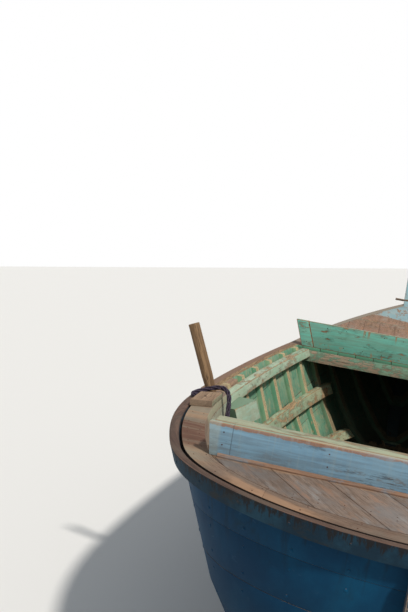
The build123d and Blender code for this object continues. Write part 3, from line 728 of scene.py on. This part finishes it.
def dressed(node, material, edge_mm):
    """A copy of a CAD node with worn, rounded edges, a tint for each of its pieces, and its material."""
    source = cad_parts[node]
    mesh = bmesh.new()
    mesh.from_mesh(source.data)
    mesh.transform(source.matrix_world)
    bmesh.ops.remove_doubles(mesh, verts=mesh.verts, dist=MERGE)
    bmesh.ops.dissolve_limit(mesh, angle_limit=FLAT, verts=mesh.verts, edges=mesh.edges)
    sharp = [e for e in mesh.edges if len(e.link_faces) == 2 and e.calc_face_angle(0.0) > SHARP]
    made = bmesh.ops.bevel(mesh, geom=sharp, offset=0.001 * edge_mm, offset_type="OFFSET",
                           segments=EDGE_SEGMENTS, profile=EDGE_PROFILE, affect="EDGES", clamp_overlap=True)
    rounded = set(made["faces"])
    edge_layer = mesh.loops.layers.float.new("edge")
    tint_layer = mesh.loops.layers.float.new("tint")
    rng = random.Random(node)
    for island in islands_of(mesh):
        tint = rng.random()
        for face in island:
            for loop in face.loops:
                loop[edge_layer] = 1.0 if face in rounded else 0.0
                loop[tint_layer] = tint
    for face in mesh.faces:
        face.smooth = True
    for edge in mesh.edges:
        edge.smooth = edge.calc_face_angle(0.0) < SHARP
    piece = boat_piece("worn_" + node, mesh, material)
    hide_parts(node)
    return piece


WORN = {}
for material, edge_mm, slot, nodes in DRESS:
    for node in nodes:
        WORN[node] = dressed(node, material, edge_mm)


def new_piece(name, mesh, material):
    """A piece that is in this file only, smooth all over."""
    bmesh.ops.recalc_face_normals(mesh, faces=mesh.faces)
    for face in mesh.faces:
        face.smooth = True
    return boat_piece(name, mesh, material)


# The rope strop on the port block: its route in the boat's frame, a slack rope of four strands, and its knot
ROPE_DIAMETER = 0.014
ROPE_ROUTE = [
    (-0.932, 1.290, 0.814),
    (-0.957, 1.297, 0.813),
    (-0.966, 1.328, 0.813),
    (-0.952, 1.364, 0.818),
    (-0.918, 1.388, 0.830),
    (-0.882, 1.398, 0.843),
    (-0.846, 1.394, 0.849),
    (-0.816, 1.368, 0.838),
    (-0.801, 1.337, 0.806),
    (-0.797, 1.314, 0.762),
    (-0.792, 1.301, 0.711),
    (-0.784, 1.297, 0.654),
]
CURVE_ORDER = 3
CURVE_STEPS = 14
STRAND_COUNT = 4
STRAND_RADIUS = 0.0040
STRAND_OFFSET = 0.0066
STRAND_TURNS_PER_METRE = 6.0
KNOT_TURNS = 3.0
KNOT_LENGTH = 0.026
KNOT_STEPS = 60
KNOT_SIDES = 12
KNOT_STRAND_RADIUS = 0.0048
KNOT_COIL_RADIUS = 0.0108
KNOT_TAPER = 6.0
KNOT_CORE_SHARES = (0.0, 0.1, 0.9, 0.98)
KNOT_CORE_RADII = [0.5 * ROPE_DIAMETER] * 3 + [0.35 * ROPE_DIAMETER]


def smooth_line(points):
    """Points along the NURBS line that these control points draw."""
    curve = bpy.data.curves.new("rope_route", "CURVE")
    curve.dimensions = "3D"
    spline = curve.splines.new("NURBS")
    spline.points.add(len(points) - 1)
    for control, place in zip(spline.points, points):
        control.co = (*place, 1.0)
    spline.order_u = CURVE_ORDER
    spline.use_endpoint_u = True
    spline.resolution_u = CURVE_STEPS
    holder = bpy.data.objects.new("rope_route", curve)
    data = bpy.data.meshes.new_from_object(holder)
    line = [v.co.copy() for v in data.vertices]
    bpy.data.meshes.remove(data)
    bpy.data.objects.remove(holder)
    bpy.data.curves.remove(curve)
    return line


def frames_along(line):
    """The direction of a line at each of its points, and two steady crosswise directions."""
    frames = []
    side = None
    for i in range(len(line)):
        direction = (line[min(i + 1, len(line) - 1)] - line[max(i - 1, 0)]).normalized()
        if side is None:
            side = direction.orthogonal()
        side = (side - direction * side.dot(direction)).normalized()
        frames.append((direction, side, direction.cross(side)))
    return frames


def around(centre, side, other, angle, radius):
    """The point at an angle and a distance from a centre."""
    return centre + radius * (math.cos(angle) * side + math.sin(angle) * other)


def join_rings(mesh, rings):
    """The skin between equal rings of vertices, closed by a flat face at either end."""
    sides = len(rings[0])
    for before, after in zip(rings, rings[1:]):
        for k in range(sides):
            mesh.faces.new((before[k], before[(k + 1) % sides], after[(k + 1) % sides], after[k]))
    mesh.faces.new(list(reversed(rings[0])))
    mesh.faces.new(rings[-1])


def add_tube(mesh, centres, frames, radii, sides=10):
    """A closed round tube about these centres."""
    rings = []
    for centre, (_, side, other), radius in zip(centres, frames, radii):
        rings.append([mesh.verts.new(around(centre, side, other, FULL_TURN * k / sides, radius))
                      for k in range(sides)])
    join_rings(mesh, rings)


def make_strands(line, frames):
    travelled = [0.0]
    for a, b in zip(line, line[1:]):
        travelled.append(travelled[-1] + (b - a).length)
    mesh = bmesh.new()
    for strand in range(STRAND_COUNT):
        centres = []
        for place, (_, side, other), run in zip(line, frames, travelled):
            angle = FULL_TURN * (strand / STRAND_COUNT + STRAND_TURNS_PER_METRE * run)
            centres.append(around(place, side, other, angle, STRAND_OFFSET))
        add_tube(mesh, centres, frames, [STRAND_RADIUS] * len(line))
    rope = new_piece("rope_strands", mesh, "rope")
    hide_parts("rope_strop")
    return rope


def make_knot(end, direction, side, other):
    """Three turns of one strand about a core, drawn in at both ends."""
    coil = []
    radii = []
    for i in range(KNOT_STEPS + 1):
        share = i / KNOT_STEPS
        ease = min(1.0, KNOT_TAPER * share, KNOT_TAPER * (1.0 - share))
        along = KNOT_STRAND_RADIUS + share * (KNOT_LENGTH - 2.0 * KNOT_STRAND_RADIUS)
        out = KNOT_COIL_RADIUS * (0.35 + 0.65 * ease)
        coil.append(around(end + along * direction, side, other, FULL_TURN * KNOT_TURNS * share, out))
        radii.append(KNOT_STRAND_RADIUS * (0.6 + 0.4 * ease))
    mesh = bmesh.new()
    add_tube(mesh, coil, frames_along(coil), radii, KNOT_SIDES)
    core = [end + share * KNOT_LENGTH * direction for share in KNOT_CORE_SHARES]
    add_tube(mesh, core, frames_along(core), KNOT_CORE_RADII, KNOT_SIDES)
    knot = new_piece("rope_end_knot", mesh, "rope")
    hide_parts("rope_knot")
    return knot


def make_rope():
    line = smooth_line([TO_WORLD @ Vector(p) for p in ROPE_ROUTE])
    frames = frames_along(line)
    rope = make_strands(line, frames)
    knot = make_knot(line[-1], *frames[-1])


make_rope()


# Nail and bolt heads, set on the surfaces that rays meet; every ray is in the boat's frame

# Seams and stringers: heights at three stations
SEAM_STATIONS = (0.0, 2.2, 5.0)
SEAM_HEIGHTS = [(0.240, 0.150, 0.420), (0.390, 0.320, 0.610), (0.530, 0.480, 0.790), (0.670, 0.645, 0.965)]
STRINGER_LINES = [((0.70, 2.60, 3.745), (0.541, 0.498, 0.528)), ((0.70, 2.30, 3.808), (0.277, 0.239, 0.229))]

# The rail's top is level, then rises in a curve, then more steeply past the knee
SHEER_START_Y = 1.9
SHEER_RISE = 0.01265
SHEER_KNEE_Y = 3.44
SHEER_KNEE_Z = 0.83
BOW_SLOPE = 0.039
BOW_RISE = 0.0634

# Where rays start: out from the side, above everything, and short of the two coamings
RAY_OUT = 1.6
RAY_TOP = 2.0
ASTERN_Y = -1.0
IN_WELL_Y = 1.0

# Where nails stand
QUARTER_CENTRE_Y = 0.95
STERN_ANGLES = [12.0 + 11.0 * i for i in range(7)]
STERN_SEAM_Y = 0.3
SEAM_NAIL_LIFTS = (-0.030, 0.030)
SEAM_NAIL_STAGGER = 0.014
RAIL_NAIL_Y = [1.08 + 0.185 * i for i in range(23)]
RAIL_NAIL_DROP = 0.030
INWALE_NAILS_Y = (1.6, 3.4)
INWALE_NAIL_DROP = 0.039
STRINGER_NAIL_LIFT = 0.012
STRINGER_NAIL_STAGGER = 0.02
COVER_NAIL_Y = [0.56 + 0.16 * i for i in range(7)]
COVER_EDGE_DROP = 0.012
COVER_NAIL_INSETS = (0.016, 0.062)

# A head's rings, as shares of its radius and height
HEAD_PROFILE = [(1.0, -1.0), (1.0, 0.3), (0.76, 0.8), (0.36, 1.0)]
HEAD_SIDES = 9


def through_three(stations, heights, y):
    """Height at y of the parabola through three points."""
    total = 0.0
    for i, (station, height) in enumerate(zip(stations, heights)):
        others = [s for j, s in enumerate(stations) if j != i]
        total += height * (y - others[0]) * (y - others[1]) / ((station - others[0]) * (station - others[1]))
    return total


def sheer_z(y):
    """Height of the rail's top."""
    if y < SHEER_START_Y:
        return DECK_Z
    if y < SHEER_KNEE_Y:
        return DECK_Z + SHEER_RISE * (y - SHEER_START_Y) ** 2
    past_knee = y - SHEER_KNEE_Y
    return SHEER_KNEE_Z + BOW_SLOPE * past_knee + BOW_RISE * past_knee ** 2


def tree_of(nodes):
    """The surface of these nodes' dressed copies, in the boat's frame, for rays to meet."""
    vertices, polygons = [], []
    for node in nodes:
        data = WORN[node].data
        start = len(vertices)
        vertices += [TO_BOAT @ v.co for v in data.vertices]
        polygons += [[start + i for i in p.vertices] for p in data.polygons]
    return BVHTree.FromPolygons(vertices, polygons)


def add_head(mesh, place, normal, radius, height):
    """A low domed head, sunk a little into the surface that it sits on."""
    turn = normal.to_track_quat("Z", "Y")
    rings = []
    for share, lift in HEAD_PROFILE:
        ring = []
        for k in range(HEAD_SIDES):
            angle = FULL_TURN * k / HEAD_SIDES
            x, y = share * radius * math.cos(angle), share * radius * math.sin(angle)
            ring.append(mesh.verts.new(TO_WORLD @ (place + turn @ Vector((x, y, lift * height)))))
        rings.append(ring)
    join_rings(mesh, rings)


def heads(name, nodes, rays, radius, height, material="iron"):
    """One joined mesh of heads where the rays meet the dressed copies of these nodes."""
    tree = tree_of(nodes)
    rng = random.Random(name)
    mesh = bmesh.new()
    for origin, direction in rays:
        place, normal = tree.ray_cast(Vector(origin), Vector(direction).normalized())[:2]
        if place is None:
            continue
        if normal.dot(Vector(direction)) > 0.0:
            normal = -normal
        add_head(mesh, place, normal, radius * rng.uniform(0.85, 1.15), height)
    new_piece(name, mesh, material)


def round_stern(angle, side, z):
    """A ray towards the stern from outside, angle degrees round from the centreline."""
    turned = math.radians(angle)
    outward = Vector((side * math.sin(turned), -math.cos(turned), 0.0))
    centre = Vector((0.0, QUARTER_CENTRE_Y, z))
    return centre + 2.0 * outward, -outward


def from_side(side, y, z):
    return Vector((side * RAY_OUT, y, z)), Vector((-side, 0.0, 0.0))


def down_rays(stations, places):
    return [((x, y, RAY_TOP), (0.0, 0.0, -1.0)) for y in stations for x in places]


def forward_rays(y, places, heights):
    return [((x, y, z), (0.0, 1.0, 0.0)) for x in places for z in heights]


def hull_rays():
    rays = []
    for side in BOTH_SIDES:
        for row in SEAM_HEIGHTS:
            for lift in SEAM_NAIL_LIFTS:
                for i, y in enumerate(RIB_Y[2:]):
                    z = through_three(SEAM_STATIONS, row, y) + lift
                    rays.append(from_side(side, y + SEAM_NAIL_STAGGER * (-1) ** i, z))
                z = through_three(SEAM_STATIONS, row, STERN_SEAM_Y) + lift
                rays += [round_stern(angle, side, z) for angle in STERN_ANGLES]
    return rays


def rail_rays():
    rays = []
    for side in BOTH_SIDES:
        rays += [from_side(side, y, sheer_z(y) - RAIL_NAIL_DROP) for y in RAIL_NAIL_Y]
        rays += [round_stern(angle, side, DECK_Z - RAIL_NAIL_DROP) for angle in STERN_ANGLES]
    return rays


def inside_rays():
    rays = []
    first, last = INWALE_NAILS_Y
    for side in BOTH_SIDES:
        for y in RIB_Y:
            if first < y < last:
                rays.append(((0.0, y, sheer_z(y) - INWALE_NAIL_DROP), (side, 0.0, 0.0)))
            for stations, heights in STRINGER_LINES:
                if stations[0] < y < stations[2]:
                    z = through_three(stations, heights, y)
                    for way in (1.0, -1.0):
                        rays.append(((0.0, y, z + way * STRINGER_NAIL_LIFT),
                                     (side, way * STRINGER_NAIL_STAGGER, 0.0)))
    return rays


def cover_rays():
    """Two rows down the covering boards, found from their outer edge."""
    tree = tree_of(COVER_NODES)
    z = DECK_Z - COVER_EDGE_DROP
    rays = []
    for side in BOTH_SIDES:
        aimed = [from_side(side, y, z) for y in COVER_NAIL_Y]
        aimed += [round_stern(angle, side, z) for angle in STERN_ANGLES]
        for origin, direction in aimed:
            place = tree.ray_cast(origin, direction)[0]
            if place is not None:
                for inset in COVER_NAIL_INSETS:
                    spot = place + inset * direction
                    rays += down_rays((spot.y,), (spot.x,))
    return rays


def spread(first, last, count):
    return [first + (last - first) * i / (count - 1) for i in range(count)]


STERN_PLANK_NODES = ["stern_deck_starboard", "stern_deck_port"]
FORE_NAIL_X = [side * (0.03 + 0.059 * i) for side in (-1, 1) for i in range(14)]
FORE_NAIL_Y = (3.475, 3.83, 4.17, 4.51)

heads("nails_planking", STRAKE_NODES, hull_rays(), 0.0055, 0.0015, "hull")
heads("nails_rail", RAIL_NODES, rail_rays(), 0.005, 0.0016, "rail")
heads("nails_stern_deck", STERN_PLANK_NODES, down_rays((0.218, 0.252), spread(-0.62, 0.62, 17)),
      0.0026, 0.0008)
heads("nails_covering_boards", COVER_NODES, cover_rays(), 0.0028, 0.0008)
heads("nails_inside", ["inwales", "stringers"], inside_rays(), 0.0036, 0.0012)
heads("nails_coaming", ["stern_coaming"],
      forward_rays(ASTERN_Y, (-0.664, -0.31, 0.06, 0.42, 0.66), (0.842, 0.885)), 0.0026, 0.001)
heads("nails_fore_board", ["fore_coaming", "fore_coaming_posts"],
      forward_rays(IN_WELL_Y, spread(-0.69, 0.69, 12), (0.862, 0.975)), 0.003, 0.001)
heads("nails_foredeck", FORE_PLANK_NODES + ["foredeck_nose"], down_rays(FORE_NAIL_Y, FORE_NAIL_X),
      0.0036, 0.001)
heads("bolts_blocks", ["thole_blocks"], down_rays((1.245,), (-0.892, 0.892)), 0.006, 0.002)


# Caulking in the decks' seams, laid where there is deck on both sides of a seam

CAULK_RADIUS = 0.0021
CAULK_SIDES = 6
CAULK_STEP = 0.02
BESIDE_SEAM = 0.008
LOWEST_DECK_Z = DECK_Z - 0.01
STERN_CAULK_BELOW = 0.0026
STERN_SEAM = 0.0235
STERN_PLANKS_A_SIDE = 8
STERN_SEAM_REACH = 1.4
STERN_MIDDLE_Y = (0.10, 0.60)
CLEAR_OF_MIDDLE = 0.004
RIM_SEAM_RADII = (0.800, 0.850)
RIM_SEAM_DEGREES = range(1, 62, 3)
RIM_SEARCH_STEP = 0.0005
FORE_CAULK_BELOW = 0.0012
FORE_PLANK_PITCH = 0.118
FORE_PLANKS_A_SIDE = 8
FORE_SEAM = -0.0015
FORE_SEAM_Y = (3.445, 4.635)


def deck_height(deck, x, y):
    """Height of the deck at a place in plan, or None where there is a gap."""
    place = deck.ray_cast(Vector((x, y, RAY_TOP)), Vector((0.0, 0.0, -1.0)))[0]
    return place.z if place is not None and place.z > LOWEST_DECK_Z else None


def add_caulking(mesh, deck, line, below):
    """A cord along a line in plan, a little below the deck, broken wherever the deck is missing beside it."""
    run = []
    for i, spot in enumerate(line):
        ahead = line[min(i + 1, len(line) - 1)] - line[max(i - 1, 0)]
        beside = BESIDE_SEAM * Vector((ahead.y, -ahead.x)).normalized()
        heights = [deck_height(deck, *(spot + way * beside)) for way in BOTH_SIDES]
        broken = None in heights
        if not broken:
            run.append(TO_WORLD @ Vector((spot.x, spot.y, 0.5 * sum(heights) - below)))
        if broken or i == len(line) - 1:
            if len(run) > 1:
                add_tube(mesh, run, frames_along(run), [CAULK_RADIUS] * len(run), CAULK_SIDES)
            run = []


def steps_between(first, last):
    return spread(first, last, round((last - first) / CAULK_STEP) + 1)


def plank_seams(side):
    """Lines in plan of the slanting seams of one side of the stern deck."""
    lines = []
    for i in range(-STERN_PLANKS_A_SIDE, STERN_PLANKS_A_SIDE):
        out = STERN_SEAM + i * PLANK_PITCH
        spots = [(out * COS_TURN + t * SIN_TURN, t * COS_TURN - out * SIN_TURN)
                 for t in steps_between(-STERN_SEAM_REACH, STERN_SEAM_REACH)]
        lines.append([Vector((side * x, y)) for x, y in spots if x > CLEAR_OF_MIDDLE])
    return [line for line in lines if len(line) > 1]


def rim_seam(deck, side):
    """Line in plan between the covering boards and one side of the stern deck, found from outside."""
    line = []
    inner, outer = RIM_SEAM_RADII
    radii = [outer - RIM_SEARCH_STEP * i for i in range(round((outer - inner) / RIM_SEARCH_STEP))]
    for degrees in RIM_SEAM_DEGREES:
        angle = math.radians(degrees)
        outward = Vector((side * math.sin(angle), -math.cos(angle)))
        spots = [Vector((0.0, STERN_CENTRE_Y)) + r * outward for r in radii]
        gaps = [spot for spot in spots if deck_height(deck, *spot) is None]
        if gaps:
            line.append(gaps[0])
    return line


def caulk_stern_deck():
    mesh = bmesh.new()
    deck = tree_of(STERN_PLANK_NODES + COVER_NODES)
    lines = [[Vector((0.0, y)) for y in steps_between(*STERN_MIDDLE_Y)]]
    for side in BOTH_SIDES:
        lines += plank_seams(side) + [rim_seam(deck, side)]
    for line in lines:
        add_caulking(mesh, deck, line, STERN_CAULK_BELOW)
    new_piece("caulking_stern_deck", mesh, "caulk")


def caulk_foredeck():
    mesh = bmesh.new()
    deck = tree_of(FORE_PLANK_NODES)
    for i in range(1 - FORE_PLANKS_A_SIDE, FORE_PLANKS_A_SIDE):
        out = math.copysign(abs(i) * FORE_PLANK_PITCH + FORE_SEAM, i) if i else 0.0
        line = [Vector((out, y)) for y in steps_between(*FORE_SEAM_Y)]
        add_caulking(mesh, deck, line, FORE_CAULK_BELOW)
    new_piece("caulking_foredeck", mesh, "foredeck_seam")


caulk_stern_deck()
caulk_foredeck()


# Floor, world and lamps

FLOOR_HALF_SIZE = 60.0
FLOOR_Z = -0.001
FLOOR_COLOUR = (0.82, 0.81, 0.79, 1.0)
FLOOR_ROUGHNESS = 0.9
SKY_COLOUR = (0.86, 0.93, 1.0, 1.0)
SKY_STRENGTH = 0.36
WHITE = (1.0, 1.0, 1.0, 1.0)

# The key lamp stands off the starboard quarter; its azimuth is counted in degrees from starboard to forward
SUN_AZIMUTH = -41.0
SUN_ELEVATION = 46.0
SUN_STRENGTH = 3.1
SUN_WIDTH = 4.0
SUN_COLOUR = (1.0, 0.96, 0.9)


def make_floor():
    material = bpy.data.materials.new("floor_plain")
    material.use_nodes = True
    shader = material.node_tree.nodes["Principled BSDF"]
    shader.inputs["Base Color"].default_value = FLOOR_COLOUR
    shader.inputs["Roughness"].default_value = FLOOR_ROUGHNESS
    mesh = bmesh.new()
    bmesh.ops.create_grid(mesh, x_segments=1, y_segments=1, size=FLOOR_HALF_SIZE)
    data = bpy.data.meshes.new("floor")
    mesh.to_mesh(data)
    mesh.free()
    data.materials.append(material)
    floor = new_object("floor", data)
    floor.location.z = FLOOR_Z


def make_world():
    """A dim blue sky for the light, which shows as white to the camera and in reflections."""
    world = bpy.data.worlds.new("world")
    bpy.context.scene.world = world
    world.use_nodes = True
    tree = world.node_tree
    sky = tree.nodes["Background"]
    sky.inputs["Color"].default_value = SKY_COLOUR
    sky.inputs["Strength"].default_value = SKY_STRENGTH
    white = tree.nodes.new("ShaderNodeBackground")
    white.inputs["Color"].default_value = WHITE
    path = tree.nodes.new("ShaderNodeLightPath")
    seen = tree.nodes.new("ShaderNodeMath")
    seen.operation = "MAXIMUM"
    both = tree.nodes.new("ShaderNodeMixShader")
    tree.links.new(path.outputs["Is Camera Ray"], seen.inputs[0])
    tree.links.new(path.outputs["Is Glossy Ray"], seen.inputs[1])
    for i, output in enumerate((seen.outputs[0], sky.outputs[0], white.outputs[0])):
        tree.links.new(output, both.inputs[i])
    tree.links.new(both.outputs[0], tree.nodes["World Output"].inputs["Surface"])


def make_sun():
    data = bpy.data.lights.new("key", "SUN")
    data.energy = SUN_STRENGTH
    data.angle = math.radians(SUN_WIDTH)
    data.color = SUN_COLOUR
    azimuth, elevation = math.radians(SUN_AZIMUTH), math.radians(SUN_ELEVATION)
    towards = Vector((math.cos(azimuth), math.sin(azimuth), math.tan(elevation)))
    new_object("key", data).rotation_euler = towards.to_track_quat("Z", "Y").to_euler()


make_floor()
make_world()
make_sun()

bpy.context.scene.view_settings.view_transform = "Standard"
